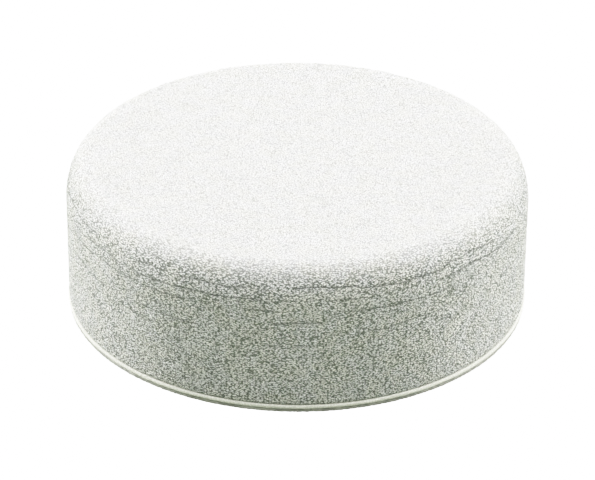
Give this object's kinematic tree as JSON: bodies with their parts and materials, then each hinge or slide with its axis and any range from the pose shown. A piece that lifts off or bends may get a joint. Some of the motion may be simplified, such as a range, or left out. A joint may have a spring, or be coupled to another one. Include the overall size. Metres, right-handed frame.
{
  "type": "felt polishing wheel",
  "caption": "Thick round felt polishing wheel with a rounded working edge, on a loop-faced cloth backing for a hook-faced plate.",
  "frame": {"origin": "centre of the loop face, which is the lowest face", "axes": "+Z along the wheel's axis, from the loop face to the flat working face; X and Y are any two directions across it"},
  "size_m": [0.1506, 0.1506, 0.05],
  "materials": {
    "felt": "matte",
    "glue": "satin",
    "cloth": "matte",
    "loops": "matte"
  },
  "bodies": {
    "root": {"felt_body": "felt", "bond_film": "glue", "backing_cloth": "cloth", "loop_pile": "loops"}
  },
  "joints": []
}
